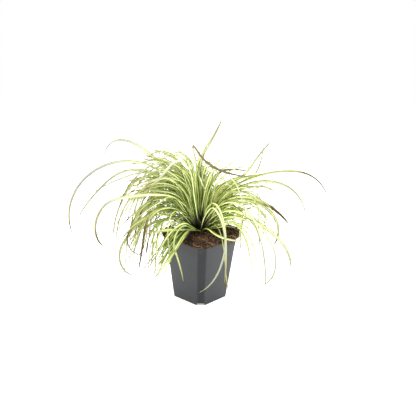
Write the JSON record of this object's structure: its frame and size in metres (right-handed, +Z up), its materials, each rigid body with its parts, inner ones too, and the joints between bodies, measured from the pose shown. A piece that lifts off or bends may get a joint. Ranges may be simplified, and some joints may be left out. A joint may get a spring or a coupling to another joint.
{
  "type": "potted variegated sedge",
  "caption": "Tuft of narrow arching variegated sedge leaves growing from heaped soil in a square tapered nursery pot with flattened corners.",
  "frame": {"origin": "middle of the pot's underside, on the round foot under its floor", "axes": "+Z up, from the ground through the pot's mouth; X and Y run square to the pot's four walls"},
  "size_m": [0.388, 0.4189, 0.2764],
  "materials": {
    "pot": "satin anthracite",
    "soil": "dark peat and coir, rough",
    "leaf": "satin, cream-yellow middle and green margins"
  },
  "bodies": {
    "root": {"pot": "pot", "soil": "soil", "shoot_01": "leaf", "shoot_02": "leaf", "shoot_03": "leaf", "shoot_04": "leaf", "shoot_05": "leaf", "shoot_06": "leaf", "shoot_07": "leaf", "shoot_08": "leaf", "shoot_09": "leaf", "shoot_10": "leaf", "shoot_11": "leaf", "shoot_12": "leaf"}
  },
  "joints": []
}
